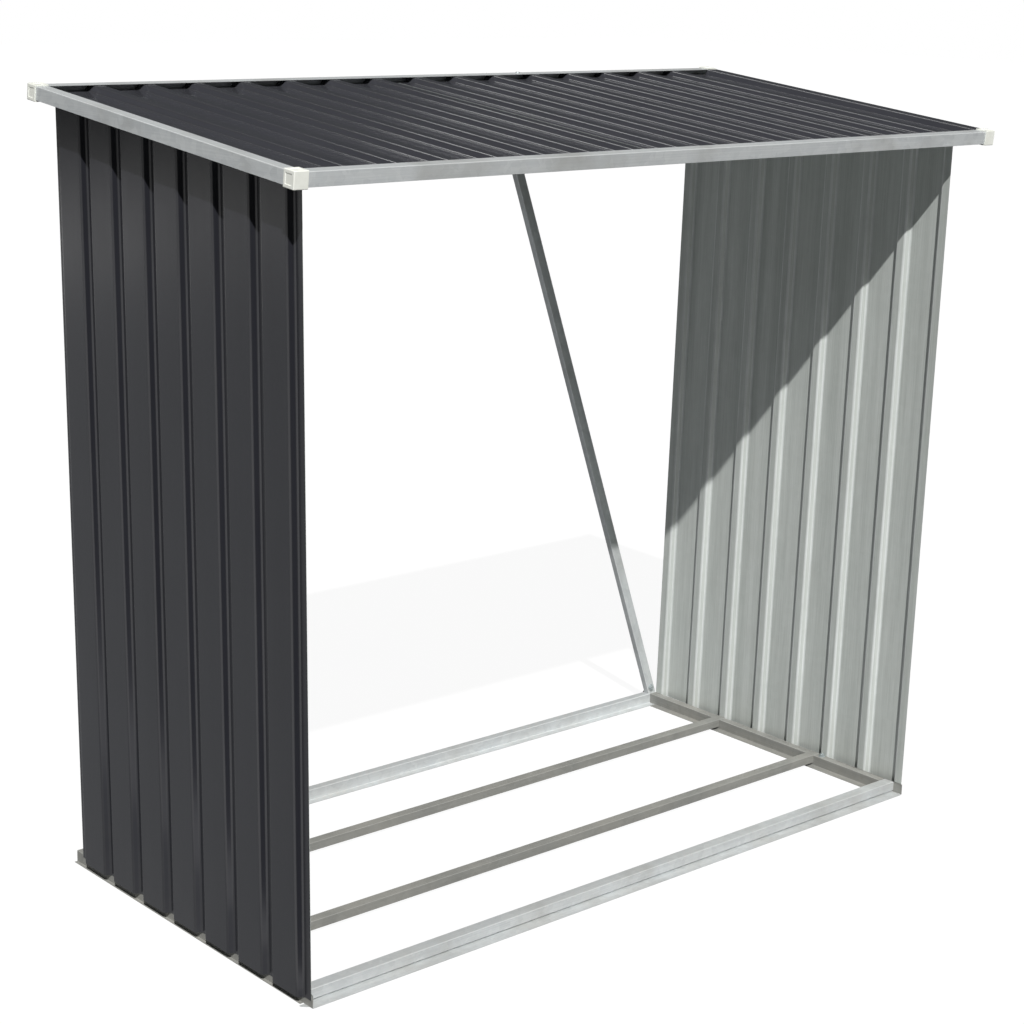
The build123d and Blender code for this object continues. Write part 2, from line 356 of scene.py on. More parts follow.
def newMaterial(name):
    material = bpy.data.materials.new(name)
    material.use_nodes = True
    tree = material.node_tree
    tree.nodes.clear()
    end = addNode(tree, "ShaderNodeOutputMaterial", (1500, 0))
    surface = addNode(tree, "ShaderNodeBsdfPrincipled", (1200, 0))
    tree.links.new(surface.outputs[0], end.inputs["Surface"])
    place = addNode(tree, "ShaderNodeTexCoord", (-1500, 0))
    return material, tree, surface, place.outputs["Object"]


def addBump(tree, place, height, strength, distance):
    node = tree.nodes.new("ShaderNodeBump")
    node.location = place
    node.inputs["Strength"].default_value = strength
    node.inputs["Distance"].default_value = distance
    tree.links.new(height, node.inputs["Height"])
    return node.outputs["Normal"]


# galvanised steel: the base finish, a duller one whose darker tone is painted shade, and the plain inside of
# the ribbed sheets
zincFinish = {
    "light": (0.70, 0.73, 0.74),
    "dark": (0.50, 0.53, 0.55),
    "stain": (0.33, 0.33, 0.31),
    # the bend tone lightens the bends: partly wear, partly a painted highlight
    "bendSheenTone": (0.80, 0.83, 0.84),
    "dustTone": (0.42, 0.40, 0.36),
    "stains": 0.45,
    "metal": 0.3,
    "roughLow": 0.34,
    "roughHigh": 0.5,
    "along": 0.02,
    "fineLines": 0.45,
    "crystals": 0.35,
    "bendRub": 0.55,
    "dustRough": 0.3,
    "bump": 0.12,
    "bumpHeight": 0.0004,
}
# the duller finish is also painted darker: painted shade that stands in for the dark ground the rails' faces
# reflect
dullShadedZinc = dict(
    zincFinish,
    metal=0.12,
    roughLow=0.45,
    roughHigh=0.60,
    stains=0.25,
    dark=(0.200, 0.204, 0.192),
    light=(0.285, 0.290, 0.276),
    # the lighter bend tone here is also partly a painted highlight
    bendSheenTone=(0.36, 0.37, 0.36),
)
sheetZinc = dict(
    zincFinish,
    crystals=0.10,
    along=0.012,
    stains=0.08,
    dark=(0.455, 0.490, 0.470),
    light=(0.625, 0.660, 0.640),
)


# builds the zinc colour, roughness and bump height in a material's tree
def zincLook(tree, vector, alongAxis, finish, leanTurn=0.0):
    stretch = [1.0, 1.0, 1.0]
    stretch[alongAxis] = finish["along"]
    turned = addNode(tree, "ShaderNodeMapping", (-1300, 300), vector_type="TEXTURE")
    turned.inputs["Rotation"].default_value = (0.0, leanTurn, 0.0)
    tree.links.new(vector, turned.inputs["Vector"])
    drawn = addNode(tree, "ShaderNodeMapping", (-1100, 300))
    drawn.inputs["Scale"].default_value = stretch
    tree.links.new(turned.outputs[0], drawn.inputs["Vector"])
    rolled = placeGroup(tree, rolledLines, (-880, 300))
    bloom = placeGroup(tree, zincBloom, (-880, 0), Size=70.0, Cloud=5.0)
    sheenAndRub = placeGroup(tree, bendRub, (-880, -260))
    dust = placeGroup(tree, dustLayer, (-880, -500), Top=0.12, Splash=0.25)
    tree.links.new(drawn.outputs[0], rolled.inputs["Vector"])
    for group in (bloom, sheenAndRub, dust):
        tree.links.new(vector, group.inputs["Vector"])
    streaks = addMath(tree, "MULTIPLY", (-660, 320), rolled.outputs["Lines"], finish["fineLines"])
    bands = addMath(tree, "MULTIPLY", (-660, 200), rolled.outputs["Bands"], 1.0 - finish["fineLines"])
    drawnTone = addMath(tree, "ADD", (-480, 260), streaks, bands)
    crystals = addMath(tree, "MULTIPLY", (-660, 60), bloom.outputs["Crystals"], finish["crystals"])
    lowTone = addMath(tree, "MULTIPLY", (-480, 120), drawnTone, 1.0 - finish["crystals"])
    tone = addMath(tree, "ADD", (-300, 160), lowTone, crystals)
    colour = addMix(tree, (-100, 200), tone, finish["dark"], finish["light"])
    stained = addRange(tree, (-480, -60), bloom.outputs["Clouds"], 0.55, 1.0, 0.0, finish["stains"])
    colour = addMix(tree, (100, 160), stained, colour, finish["stain"])
    # the bends are painted lighter: a painted highlight mixed with wear
    sheenAndRubMask = addMath(tree, "MULTIPLY", (-480, -240), sheenAndRub.outputs["Rub"], finish["bendRub"])
    colour = addMix(tree, (300, 120), sheenAndRubMask, colour, finish["bendSheenTone"])
    colour = addMix(tree, (500, 80), dust.outputs["Dust"], colour, finish["dustTone"])
    rough = addRange(tree, (300, -160), tone, 0.0, 1.0, finish["roughHigh"], finish["roughLow"])
    dustRough = addMath(tree, "MULTIPLY", (300, -340), dust.outputs["Dust"], finish["dustRough"])
    rough = addMath(tree, "ADD", (500, -200), rough, dustRough, clamp=True)
    height = addMath(tree, "ADD", (300, -480), drawnTone, crystals)
    return colour, rough, height


def zincMaterial(name, alongAxis, finish=zincFinish, leanTurn=0.0):
    material, tree, surface, vector = newMaterial(name)
    colour, rough, height = zincLook(tree, vector, alongAxis, finish, leanTurn)
    tree.links.new(colour, surface.inputs["Base Color"])
    tree.links.new(rough, surface.inputs["Roughness"])
    surface.inputs["Metallic"].default_value = finish["metal"]
    bump = addBump(tree, (900, -300), height, finish["bump"], finish["bumpHeight"])
    tree.links.new(bump, surface.inputs["Normal"])
    return material


# anthracite coil coat outside, bare zinc inside
coatFinish = {
    "base": (0.0145, 0.0150, 0.0195),
    "light": (0.0225, 0.0232, 0.0290),
    # the colour below lightens the bends: partly wear, partly a painted highlight
    "sheenAndRub": (0.032, 0.033, 0.036),
    "dustTone": (0.23, 0.22, 0.20),
    "rough": 0.20,
    "rougher": 0.04,
    "smoother": 0.03,
    "dustRough": 0.4,
    "specular": 0.5,
    "along": 0.03,
    "bump": 0.02,
    "dustTop": 0.03,
}
roofCoat = dict(
    coatFinish,
    base=(0.0400, 0.0415, 0.0500),
    light=(0.0500, 0.0515, 0.0610),
    rough=0.12,
    specular=0.3,
)


def coatLook(tree, vector, alongAxis, finish, high):
    stretch = [1.0, 1.0, 1.0]
    stretch[alongAxis] = finish["along"]
    drawn = addNode(tree, "ShaderNodeMapping", (-1100, high))
    drawn.inputs["Scale"].default_value = stretch
    tree.links.new(vector, drawn.inputs["Vector"])
    rolled = placeGroup(tree, rolledLines, (-880, high), Fine=160.0, Broad=16.0)
    grain = addNode(tree, "ShaderNodeTexNoise", (-880, high - 220), Scale=1400.0, Detail=2.0)
    patches = addNode(tree, "ShaderNodeTexNoise", (-880, high - 440), Scale=3.2, Detail=5.0, Roughness=0.6)
    sheenAndRub = placeGroup(tree, bendRub, (-880, high - 660), Patches=9.0, Amount=0.5)
    dust = placeGroup(tree, dustLayer, (-880, high - 860), Top=finish["dustTop"], Splash=0.05)
    tree.links.new(drawn.outputs[0], rolled.inputs["Vector"])
    for node in (grain, patches, sheenAndRub, dust):
        tree.links.new(vector, node.inputs["Vector"])
    bands = addMath(tree, "MULTIPLY", (-660, high), rolled.outputs["Bands"], 0.45)
    lines = addMath(tree, "MULTIPLY", (-660, high - 120), rolled.outputs["Lines"], 0.15)
    cloudy = addRange(tree, (-660, high - 440), patches.outputs["Fac"], 0.35, 0.65, 0.0, 0.4)
    tone = addMath(tree, "ADD", (-460, high), bands, lines)
    tone = addMath(tree, "ADD", (-280, high), tone, cloudy, clamp=True)
    colour = addMix(tree, (-80, high), tone, finish["base"], finish["light"])
    # the bends are painted lighter: a painted highlight mixed with wear
    colour = addMix(tree, (100, high), sheenAndRub.outputs["Rub"], colour, finish["sheenAndRub"])
    colour = addMix(tree, (280, high), dust.outputs["Dust"], colour, finish["dustTone"])
    roughHigh = finish["rough"] + finish["rougher"]
    roughLow = finish["rough"] - finish["smoother"]
    rough = addRange(tree, (-80, high - 300), tone, 0.0, 1.0, roughHigh, roughLow)
    dustRough = addMath(tree, "MULTIPLY", (-80, high - 480), dust.outputs["Dust"], finish["dustRough"])
    rough = addMath(tree, "ADD", (100, high - 300), rough, dustRough, clamp=True)
    return colour, rough, grain.outputs["Fac"]


def sheetMaterial(name, alongAxis, sideAxis, sideSign, coat, zinc):
    material, tree, surface, vector = newMaterial(name)
    geometry = addNode(tree, "ShaderNodeNewGeometry", (-200, 900))
    split = addNode(tree, "ShaderNodeSeparateXYZ", (0, 900))
    tree.links.new(geometry.outputs["Normal"], split.inputs[0])
    outside = addMath(tree, "MULTIPLY", (180, 900), split.outputs["XYZ"[sideAxis]], float(sideSign))
    outside = addMath(tree, "GREATER_THAN", (360, 900), outside, 0.02)
    zincColour, zincRough, zincHeight = zincLook(tree, vector, alongAxis, zinc)
    coatColour, coatRough, coatHeight = coatLook(tree, vector, alongAxis, coat, -900)
    colour = addMix(tree, (720, 300), outside, zincColour, coatColour)
    tree.links.new(colour, surface.inputs["Base Color"])
    roughGap = addMath(tree, "SUBTRACT", (540, 0), coatRough, zincRough)
    roughGap = addMath(tree, "MULTIPLY", (720, 0), roughGap, outside)
    tree.links.new(addMath(tree, "ADD", (900, 0), roughGap, zincRough), surface.inputs["Roughness"])
    metal = addMath(tree, "MULTIPLY_ADD", (720, 160), outside, -zinc["metal"])
    metal.node.inputs[2].default_value = zinc["metal"]
    tree.links.new(metal, surface.inputs["Metallic"])
    surface.inputs["Specular IOR Level"].default_value = coat["specular"]
    zincPart = addMath(tree, "SUBTRACT", (540, -300), 1.0, outside)
    zincPart = addMath(tree, "MULTIPLY", (720, -300), zincPart, zincHeight)
    coatPart = addMath(tree, "MULTIPLY", (720, -460), coatHeight, outside)
    coatPart = addMath(tree, "MULTIPLY", (900, -460), coatPart, coat["bump"] / zinc["bump"])
    height = addMath(tree, "ADD", (900, -300), zincPart, coatPart)
    bump = addBump(tree, (1040, -300), height, zinc["bump"], zinc["bumpHeight"])
    tree.links.new(bump, surface.inputs["Normal"])
    return material


# moulded plastic and zinc-plated fasteners: both cloudy, with a fine grain
capFinish = {
    "dark": (0.84, 0.86, 0.80),
    "light": (0.90, 0.92, 0.87),
    "dustTone": (0.55, 0.53, 0.47),
    "dustTop": 0.15,
    "cloudScale": 70.0,
    "grainScale": 1800.0,
    "grainDetail": 2.0,
    "roughLow": 0.38,
    "roughHigh": 0.52,
    "metal": 0.0,
    "bump": 0.08,
    "bumpHeight": 0.0002,
}
boltFinish = {
    "dark": (0.34, 0.38, 0.39),
    "light": (0.50, 0.55, 0.56),
    "cloudScale": 260.0,
    "grainScale": 1500.0,
    "grainDetail": 3.0,
    "roughLow": 0.30,
    "roughHigh": 0.5,
    "metal": 0.6,
    "bump": 0.1,
    "bumpHeight": 0.0002,
}


def cloudyMaterial(name, finish):
    material, tree, surface, vector = newMaterial(name)
    clouds = addNode(tree, "ShaderNodeTexNoise", (-700, 200), Scale=finish["cloudScale"], Detail=4.0)
    grain = addNode(tree, "ShaderNodeTexNoise", (-700, -100), Scale=finish["grainScale"])
    grain.inputs["Detail"].default_value = finish["grainDetail"]
    for node in (clouds, grain):
        tree.links.new(vector, node.inputs["Vector"])
    tone = addRange(tree, (-400, 200), clouds.outputs["Fac"], 0.3, 0.7, 0.0, 1.0)
    colour = addMix(tree, (-200, 200), tone, finish["dark"], finish["light"])
    if "dustTone" in finish:
        dust = placeGroup(tree, dustLayer, (-700, -400), Top=finish["dustTop"], Splash=0.0)
        tree.links.new(vector, dust.inputs["Vector"])
        colour = addMix(tree, (0, 200), dust.outputs["Dust"], colour, finish["dustTone"])
    tree.links.new(colour, surface.inputs["Base Color"])
    roughLow, roughHigh = finish["roughLow"], finish["roughHigh"]
    rough = addRange(tree, (-200, -100), grain.outputs["Fac"], 0.3, 0.7, roughLow, roughHigh)
    tree.links.new(rough, surface.inputs["Roughness"])
    surface.inputs["Metallic"].default_value = finish["metal"]
    bump = addBump(tree, (900, -300), grain.outputs["Fac"], finish["bump"], finish["bumpHeight"])
    tree.links.new(bump, surface.inputs["Normal"])
    return material


# the line that the right brace leans along, from its foot to its head, across and up
braceLine = {"foot": (0.796, 0.024), "head": (0.243, 1.529258)}


def leanAngle(line):
    (footX, footZ), (headX, headZ) = line["foot"], line["head"]
    return math.atan2(footX - headX, headZ - footZ)


zincAlongX = zincMaterial("galvanisedAlongX", 0)
zincAlongY = zincMaterial("galvanisedAlongY", 1)
# the rails and top angles get the darker finish, whose dark tone is painted shade
dullShadedAlongX = zincMaterial("dullShadedZincAlongX", 0, dullShadedZinc)
dullShadedAlongY = zincMaterial("dullShadedZincAlongY", 1, dullShadedZinc)
wallLeftSheet = sheetMaterial("leftWallCoat", 2, 0, -1, coatFinish, sheetZinc)
wallRightSheet = sheetMaterial("rightWallCoat", 2, 0, 1, coatFinish, sheetZinc)
roofSheet = sheetMaterial("roofCoat", 1, 2, 1, roofCoat, sheetZinc)
zincBraceRight = zincMaterial("galvanisedBraceRight", 2, zincFinish, -leanAngle(braceLine))
zincBraceLeft = zincMaterial("galvanisedBraceLeft", 2, zincFinish, leanAngle(braceLine))
whitePlastic = cloudyMaterial("mouldedPlastic", capFinish)
platedSteel = cloudyMaterial("platedSteel", boltFinish)
print("finishes made")


# sheet steel pieces: the CAD strips with their bends rolled round
foldShape = {
    "leastTurn": 25,
    "leastLength": 0.03,
    "leastWidth": 0.0016,
    "smoothAngle": 28,
}
sheetBend = {"outer": 0.0034, "inner": 0.0031, "segments": 4}
channelBend = {"outer": 0.0016, "inner": 0.0008, "segments": 3}
railBend = {"outer": 0.0015, "inner": 0.0007, "segments": 3}


def faceWidth(face):
    return 2.0 * face.calc_area() / face.calc_perimeter()


def isBend(edge, convex, shape):
    if len(edge.link_faces) != 2 or edge.is_convex != convex:
        return False
    if edge.calc_face_angle(0.0) < math.radians(shape["leastTurn"]):
        return False
    if edge.calc_length() < shape["leastLength"]:
        return False
    return all(faceWidth(face) > shape["leastWidth"] for face in edge.link_faces)


def roundedPlace(centre):
    return tuple(round(x, 5) for x in centre)


# a face attribute that tells the finishes where the rolled bends are
def markBends(piece, centres):
    marks = {roundedPlace(centre) for centre in centres}
    layer = piece.data.attributes.new("bend", "FLOAT", "FACE")
    for face in piece.data.polygons:
        corners = [piece.data.vertices[spot].co for spot in face.vertices]
        centre = sum(corners, Vector()) / len(corners)
        layer.data[face.index].value = float(roundedPlace(centre) in marks)


def foldSteel(nodeName, name, material, slotName, bend, shape):
    piece = copyNode(nodeName, name)
    mesh = mergeFaces(piece, mergeLimits)
    bendFaces = []
    for convex, reach in ((True, bend["outer"]), (False, bend["inner"])):
        picked = pickEdges(piece, mesh, lambda edge: isBend(edge, convex, shape))
        if picked:
            bpy.ops.mesh.bevel(offset=reach, offset_type="OFFSET", segments=bend["segments"], profile=0.5,
                               affect="EDGES", clamp_overlap=False)
            mesh = bmesh.from_edit_mesh(piece.data)
            bendFaces += [face.calc_center_median().copy() for face in mesh.faces if face.select]
            mesh = openEditAgain(piece, "EDGE")
    closeEdit()
    markBends(piece, bendFaces)
    coverPiece(piece, material, shape["smoothAngle"])
    settleFlats(piece)
    declare(piece, slotName, nodeName)
    print(name, len(piece.data.polygons), "faces")


steelPieces = [
    ("left_wall_sheet", "leftWall", wallLeftSheet, "painted_sheet", sheetBend),
    ("right_wall_sheet", "rightWall", wallRightSheet, "painted_sheet", sheetBend),
    ("roof_sheet_left", "roofLeftSheet", roofSheet, "painted_sheet", sheetBend),
    ("roof_sheet_right", "roofRightSheet", roofSheet, "painted_sheet", sheetBend),
    ("roof_front_channel", "roofFrontChannel", zincAlongX, "galvanised", channelBend),
    ("roof_back_channel", "roofBackChannel", zincAlongX, "galvanised", channelBend),
    ("roof_left_channel", "roofLeftChannel", zincAlongY, "galvanised", channelBend),
    ("roof_right_channel", "roofRightChannel", zincAlongY, "galvanised", channelBend),
    ("left_wall_angle", "leftWallTopAngle", dullShadedAlongY, "galvanised", railBend),
    ("right_wall_angle", "rightWallTopAngle", dullShadedAlongY, "galvanised", railBend),
    ("base_front_sill", "frontSill", zincAlongX, "galvanised", railBend),
    ("base_back_rail", "backRail", zincAlongX, "galvanised", railBend),
    ("base_left_rail", "leftRail", dullShadedAlongY, "galvanised", railBend),
    ("base_right_rail", "rightRail", dullShadedAlongY, "galvanised", railBend),
    ("cross_rail_front", "crossRailFront", dullShadedAlongX, "galvanised", railBend),
    ("cross_rail_back", "crossRailBack", dullShadedAlongX, "galvanised", railBend),
    ("brace_left", "leftBrace", zincBraceLeft, "galvanised", railBend),
    ("brace_right", "rightBrace", zincBraceRight, "galvanised", railBend),
]
for nodeName, name, material, slotName, bend in steelPieces:
    foldSteel(nodeName, name, material, slotName, bend, foldShape)
print("sheet steel pieces made")


# the roof frame's own directions: across, up the slope, and out of it
roofShape = {
    "halfLength": 0.8925,
    "front": -0.424816,
    "height": 1.445,
    "slopeLength": 0.833768,
    "tilt": math.radians(5.8),
    "face": 0.026,
}


def roofPlace(shape):
    turn = Matrix.Rotation(shape["tilt"], 4, "X")
    return Matrix.Translation((0.0, shape["front"], shape["height"])) @ turn


# corner caps
capShape = {
    "outside": 0.0025,
    "round": 0.0018,
    "panelRim": 0.0042,
    "panelSink": 0.0008,
    "dishRim": 0.0050,
    "dishSink": 0.0010,
    "leastPanel": 0.0001,
    "sameFace": 0.0001,
    "smoothAngle": 32,
}


# the outer faces of a cap, as far across, up the slope and out of it as they lie
def capFaces(back, shape, roof):
    return {
        "across": roof["halfLength"] + shape["outside"],
        "along": roof["slopeLength"] + shape["outside"] if back else -shape["outside"],
        "top": roof["face"] + shape["outside"],
        "under": -shape["outside"],
        "near": shape["sameFace"],
    }


# the outer face that a cap's face lies in: its two sides, its top or its underside, or none
def capSide(face, outer):
    centre = face.calc_center_median()
    if abs(abs(centre.x) - outer["across"]) < outer["near"] and abs(face.normal.x) > 0.9:
        return "side"
    if abs(centre.y - outer["along"]) < outer["near"] and abs(face.normal.y) > 0.9:
        return "end"
    if abs(centre.z - outer["top"]) < outer["near"] and face.normal.z > 0.9:
        return "top"
    if abs(centre.z - outer["under"]) < outer["near"] and face.normal.z < -0.9:
        return "under"
    return ""


def isCapEdge(edge, outer):
    return len(edge.link_faces) == 2 and all(capSide(face, outer) for face in edge.link_faces)


def sinkPanel(cap, outer, side, rim, sink, leastArea):
    mesh = openEditAgain(cap, "FACE")
    pickFaces(cap, mesh, lambda face: face.calc_area() > leastArea and capSide(face, outer) == side)
    bpy.ops.mesh.inset(thickness=rim, depth=0.0)
    bpy.ops.mesh.inset(thickness=sink, depth=-sink)


# the CAD shell, laid level while it is rounded and sunk, then turned back to its place
def modelCap(name, nodeName, back, shape, roof):
    cap = copyNode(nodeName, name)
    outer = capFaces(back, shape, roof)
    cap.matrix_world = roofPlace(roof).inverted()
    applyPlace(cap)
    mesh = mergeFaces(cap, mergeLimits)
    rounded = pickEdges(cap, mesh, lambda edge: isCapEdge(edge, outer))
    bpy.ops.mesh.bevel(offset=shape["round"], segments=4, affect="EDGES")
    sinkPanel(cap, outer, "side", shape["panelRim"], shape["panelSink"], shape["leastPanel"])
    sinkPanel(cap, outer, "top", shape["dishRim"], shape["dishSink"], shape["leastPanel"])
    closeEdit()
    cap.matrix_world = roofPlace(roof)
    applyPlace(cap)
    coverPiece(cap, whitePlastic, shape["smoothAngle"])
    settleFlats(cap)
    declare(cap, "white_plastic", nodeName)
    print(name, rounded, "edges rounded,", len(cap.data.polygons), "faces")


for name, nodeName, back in (
    ("frontLeftCap", "front_left_cap", False),
    ("frontRightCap", "front_right_cap", False),
    ("backLeftCap", "back_left_cap", True),
    ("backRightCap", "back_right_cap", True),
):
    modelCap(name, nodeName, back, capShape, roofShape)
print("corner caps made")


# bolts, nuts and screws
fastenerShape = {
    "nutRadius": 0.0055,
    "nutHigh": 0.0045,
    "nutRound": 0.0006,
    "nutRim": 0.0012,
    "nutSink": 0.0003,
    "washerRadius": 0.0078,
    "washerHigh": 0.0011,
    "washerRound": 0.0003,
    "endRadius": 0.0029,
    "endHigh": 0.0022,
    "endInside": 0.0020,
    "endRound": 0.0005,
    "domeRadius": 0.0052,
    "domeHigh": 0.0021,
    "domeRim": 0.0010,
    "socketRim": 0.0004,
    "socketDeep": 0.0005,
    "smoothAngle": 30,
}
fastenerPlaces = {
    "channelHeadAcross": 0.290,
    "channelHeadIn": 0.008,
    "railNut": (0.8005, -0.1445, 0.0240),
    "braceHeadBolt": (0.249, 0.4060, 1.5420),
    "braceFootBolt": (0.7905, 0.4049, 0.0400),
    "angleScrewsY": (-0.2508, -0.0358, 0.1792, 0.3405),
    "angleScrewsZ": 1.470,
    "wallFootX": 0.809,
    "wallLean": 0.019,
    "insideWall": 0.0012,
}


# an upright rod between two heights, with its top edge rounded
def addRod(corners, radius, low, high, rounding, segments):
    bpy.ops.mesh.primitive_cylinder_add(vertices=corners, radius=radius, depth=high - low,
                                        location=(0.0, 0.0, (low + high) / 2))
    rod = bpy.context.object
    applyPlace(rod)
    middle = (low + high) / 2
    mesh = openEdit(rod, "EDGE")
    pickEdges(rod, mesh, lambda edge: all(end.co.z > middle for end in edge.verts))
    bpy.ops.mesh.bevel(offset=rounding, segments=segments, affect="EDGES")
    closeEdit()
    return rod


def sinkTop(rod, leastArea, rim, slope, depth):
    openEdit(rod)
    mesh = openEditAgain(rod, "FACE")
    pickFaces(rod, mesh, lambda face: face.normal.z > 0.99 and face.calc_area() > leastArea)
    bpy.ops.mesh.inset(thickness=rim, depth=0.0)
    bpy.ops.mesh.inset(thickness=slope, depth=-depth)
    closeEdit()


def modelNut(shape, withEnd):
    washerTop = shape["washerHigh"]
    nutTop = washerTop + shape["nutHigh"]
    endTop = nutTop + shape["endHigh"]
    washer = addRod(28, shape["washerRadius"], 0.0, washerTop, shape["washerRound"], 2)
    nut = addRod(6, shape["nutRadius"], washerTop, nutTop, shape["nutRound"], 2)
    sinkTop(nut, 2e-5, shape["nutRim"], shape["nutSink"], shape["nutSink"])
    parts = [washer, nut]
    if withEnd:
        endFoot = nutTop - shape["endInside"]
        parts.append(addRod(16, shape["endRadius"], endFoot, endTop, shape["endRound"], 2))
    deselectAll()
    for part in parts:
        part.select_set(True)
    bpy.context.view_layer.objects.active = washer
    bpy.ops.object.join()
    return washer


def modelDome(shape):
    dome = addRod(28, shape["domeRadius"], 0.0, shape["domeHigh"], shape["domeHigh"] * 0.8, 5)
    sinkTop(dome, 5e-6, shape["domeRim"], shape["socketRim"], shape["socketDeep"])
    return dome


def placeFastener(model, name, place, outward, spin=0.0):
    fastener = copyPiece(model, name)
    facing = Vector(outward).to_track_quat("Z", "Y").to_matrix().to_4x4()
    fastener.matrix_world = Matrix.Translation(place) @ facing @ Matrix.Rotation(spin, 4, "Z")
    applyPlace(fastener)
    coverPiece(fastener, platedSteel, fastenerShape["smoothAngle"])
    declare(fastener, "galvanised")


def onSide(side, place):
    return (side * place[0], place[1], place[2])


def placeSideFasteners(side, sideName, places, roof):
    for model, name, outward, spin in (
        (nutModel, "railNut", (0.0, 0.0, 1.0), 0.3),
        (boltModel, "braceHeadBolt", (0.0, 1.0, 0.0), 0.2),
        (boltModel, "braceFootBolt", (0.0, -1.0, 0.0), 0.5),
    ):
        placeFastener(model, name + sideName, onSide(side, places[name]), outward, spin)
    wallX = places["wallFootX"] + places["angleScrewsZ"] * math.tan(places["wallLean"])
    for spot, y in enumerate(places["angleScrewsY"]):
        z = roof["height"] + (y - roof["front"]) * math.tan(roof["tilt"])
        place = onSide(side, (wallX - places["insideWall"], y, z))
        placeFastener(domeModel, "angleScrew" + sideName + str(spot), place, (-side, 0.0, places["wallLean"]))


# the one screw head on top of the back channel
def placeChannelHead(places, roof):
    spot = Vector((places["channelHeadAcross"], roof["slopeLength"] - places["channelHeadIn"], roof["face"]))
    out = (0.0, -math.sin(roof["tilt"]), math.cos(roof["tilt"]))
    placeFastener(domeModel, "backChannelHead", tuple(roofPlace(roof) @ spot), out)


nutModel = modelNut(fastenerShape, True)
boltModel = modelNut(fastenerShape, False)
domeModel = modelDome(fastenerShape)
placeChannelHead(fastenerPlaces, roofShape)
placeSideFasteners(-1, "Left", fastenerPlaces, roofShape)
placeSideFasteners(1, "Right", fastenerPlaces, roofShape)
for model in (nutModel, boltModel, domeModel):
    bpy.data.objects.remove(model)
print("fasteners made")


# light, floor and white background
lightSetup = {
    "sunHeading": (0.56, 0.81, -1.0),
    "sunStrength": 4.55,
    "sunAngle": 0.7,
    "sunColour": (1.0, 0.985, 0.96),
    "skyFill": 0.08,
    "skyColour": (0.92, 0.96, 1.0),
    "floorSize": 60.0,
    "floorRise": -0.0004,
    "floorTone": 0.15,
    "floorShown": 0.07,
    "floorGlow": 0.945,
}
flagSetup = {
    "ringRadius": 12.0,
    "ringHeight": 18.0,
    "ringTone": (0.040, 0.043, 0.045),
    "frontMat": (0.020, 0.021, 0.022),
    "backMat": (0.46, 0.47, 0.48),
    "matStart": (0.80, -0.42),
    "matTip": 0.01,
    "matRise": -0.0002,
    "frontFrom": (0.26, -0.966),
    "frontTo": (0.82, -0.57),
    "backTo": (0.82, 0.57),
    "cardPlace": (0.0, 7.6, 12.0),
    "cardFaces": (0.0, 0.0, 1.5),
    "cardSize": (3.4, 3.75),
    "cardGlow": 7.0,
}


def addSun(setup):
    sun = bpy.data.objects.new("sun", bpy.data.lights.new("sun", "SUN"))
    bpy.context.scene.collection.objects.link(sun)
    sun.rotation_euler = Vector(setup["sunHeading"]).to_track_quat("-Z", "Y").to_euler()
    sun.data.energy = setup["sunStrength"]
    sun.data.angle = math.radians(setup["sunAngle"])
    sun.data.color = setup["sunColour"]


def anyOf(tree, rays, place):
    first = addMath(tree, "MAXIMUM", place, rays.outputs["Is Camera Ray"], rays.outputs["Is Glossy Ray"])
    return addMath(tree, "MAXIMUM", (place[0] + 180, place[1]), first, rays.outputs["Is Transmission Ray"])


def addWorld(setup):
    world = bpy.data.worlds.new("studio")
    bpy.context.scene.world = world
    world.use_nodes = True
    tree = world.node_tree
    tree.nodes.clear()
    end = addNode(tree, "ShaderNodeOutputWorld", (600, 0))
    fill = addNode(tree, "ShaderNodeBackground", (0, -120), Strength=setup["skyFill"])
    fill.inputs["Color"].default_value = setup["skyColour"] + (1.0,)
    white = addNode(tree, "ShaderNodeBackground", (0, 60), Strength=1.0)
    white.inputs["Color"].default_value = (1.0, 1.0, 1.0, 1.0)
    rays = addNode(tree, "ShaderNodeLightPath", (-500, 260))
    mix = addNode(tree, "ShaderNodeMixShader", (300, 0))
    tree.links.new(anyOf(tree, rays, (-260, 260)), mix.inputs[0])
    tree.links.new(fill.outputs[0], mix.inputs[1])
    tree.links.new(white.outputs[0], mix.inputs[2])
    tree.links.new(mix.outputs[0], end.inputs["Surface"])


def addFloor(setup):
    bpy.ops.mesh.primitive_plane_add(size=setup["floorSize"], location=(0.0, 0.0, setup["floorRise"]))
    floor = bpy.context.object
    floor.name = "floor"
    material = bpy.data.materials.new("paleFloor")
    material.use_nodes = True
    tree = material.node_tree
    tree.nodes.clear()
    end = addNode(tree, "ShaderNodeOutputMaterial", (800, 0))
    rays = addNode(tree, "ShaderNodeLightPath", (-500, 300))
    plain = addNode(tree, "ShaderNodeBsdfDiffuse", (0, -160))
    plain.inputs["Color"].default_value = (setup["floorTone"],) * 3 + (1.0,)
    shown = addNode(tree, "ShaderNodeBsdfDiffuse", (0, 20))
    shown.inputs["Color"].default_value = (setup["floorShown"],) * 3 + (1.0,)
    glow = addNode(tree, "ShaderNodeEmission", (0, 160), Strength=setup["floorGlow"])
    both = addNode(tree, "ShaderNodeAddShader", (220, 100))
    mix = addNode(tree, "ShaderNodeMixShader", (500, 0))
    tree.links.new(glow.outputs[0], both.inputs[0])
    tree.links.new(shown.outputs[0], both.inputs[1])
    tree.links.new(anyOf(tree, rays, (-260, 300)), mix.inputs[0])
    tree.links.new(plain.outputs[0], mix.inputs[1])
    tree.links.new(both.outputs[0], mix.inputs[2])
    tree.links.new(mix.outputs[0], end.inputs["Surface"])
    floor.data.materials.append(material)


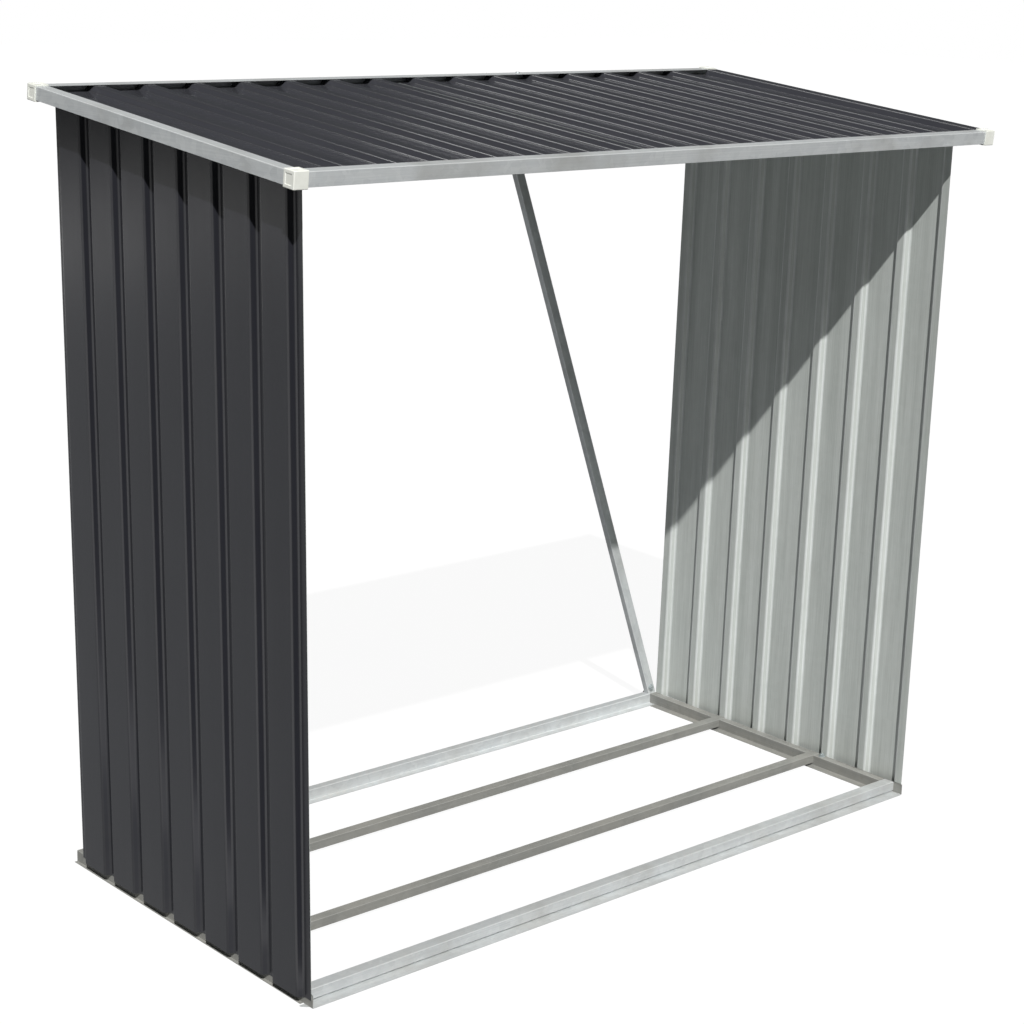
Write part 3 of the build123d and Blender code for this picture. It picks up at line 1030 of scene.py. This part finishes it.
# flags, mats and a card: only reflections see them, and they are not part of the object
def reflectionOnly(item, name, colour, strength):
    item.name = name
    material = bpy.data.materials.new(name)
    material.use_nodes = True
    tree = material.node_tree
    tree.nodes.clear()
    end = addNode(tree, "ShaderNodeOutputMaterial", (300, 0))
    glow = addNode(tree, "ShaderNodeEmission", (0, 0), Strength=strength)
    glow.inputs["Color"].default_value = colour + (1.0,)
    tree.links.new(glow.outputs[0], end.inputs["Surface"])
    item.data.materials.clear()
    item.data.materials.append(material)
    item.visible_camera = False
    item.visible_diffuse = False
    item.visible_shadow = False
    item.visible_transmission = False


def placeMat(name, tone, corners):
    bpy.ops.mesh.primitive_plane_add(size=2.0, location=(0.0, 0.0, flagSetup["matRise"]))
    mat = bpy.context.object
    mesh = openEdit(mat, "VERT")
    turning = sorted(mesh.verts, key=lambda corner: math.atan2(corner.co.y, corner.co.x))
    for corner, (x, y) in zip(turning, corners):
        corner.co.x, corner.co.y = x, y
    bmesh.update_edit_mesh(mat.data)
    closeEdit()
    reflectionOnly(mat, name, tone, 1.0)


def addFlags(setup):
    radius, high = setup["ringRadius"], setup["ringHeight"]
    bpy.ops.mesh.primitive_cylinder_add(vertices=96, radius=radius, depth=high, end_fill_type="NOTHING",
                                        location=(0.0, 0.0, high / 2))
    reflectionOnly(bpy.context.object, "ringFlag", setup["ringTone"], 1.0)
    startX, startY = setup["matStart"]
    fromX, fromY = setup["frontFrom"]
    toX, toY = setup["frontTo"]
    backX, backY = setup["backTo"]
    for side in (-1, 1):
        near = (side * startX, startY)
        placeMat("frontMat%d" % side, setup["frontMat"], [
            near,
            (near[0] + side * setup["matTip"], startY),
            (side * (startX + toX * radius), startY + toY * radius),
            (side * (startX + fromX * radius), startY + fromY * radius),
        ])
        placeMat("backMat%d" % side, setup["backMat"], [
            (0.0, startY),
            near,
            (side * (startX + backX * radius), startY + backY * radius),
            (0.0, startY + backY * radius),
        ])
    bpy.ops.mesh.primitive_plane_add(size=1.0, location=setup["cardPlace"])
    card = bpy.context.object
    card.scale = setup["cardSize"] + (1.0,)
    card.rotation_euler = (Vector(setup["cardFaces"]) - card.location).to_track_quat("-Z", "Y").to_euler()
    applyPlace(card)
    reflectionOnly(card, "backCard", (1.0, 1.0, 1.0), setup["cardGlow"])


addSun(lightSetup)
addWorld(lightSetup)
addFloor(lightSetup)
addFlags(flagSetup)
bpy.context.scene.cycles.max_bounces = 5
bpy.context.scene.cycles.diffuse_bounces = 3
bpy.context.scene.cycles.glossy_bounces = 3
bpy.context.scene.view_settings.view_transform = "Standard"
print("light and floor set")
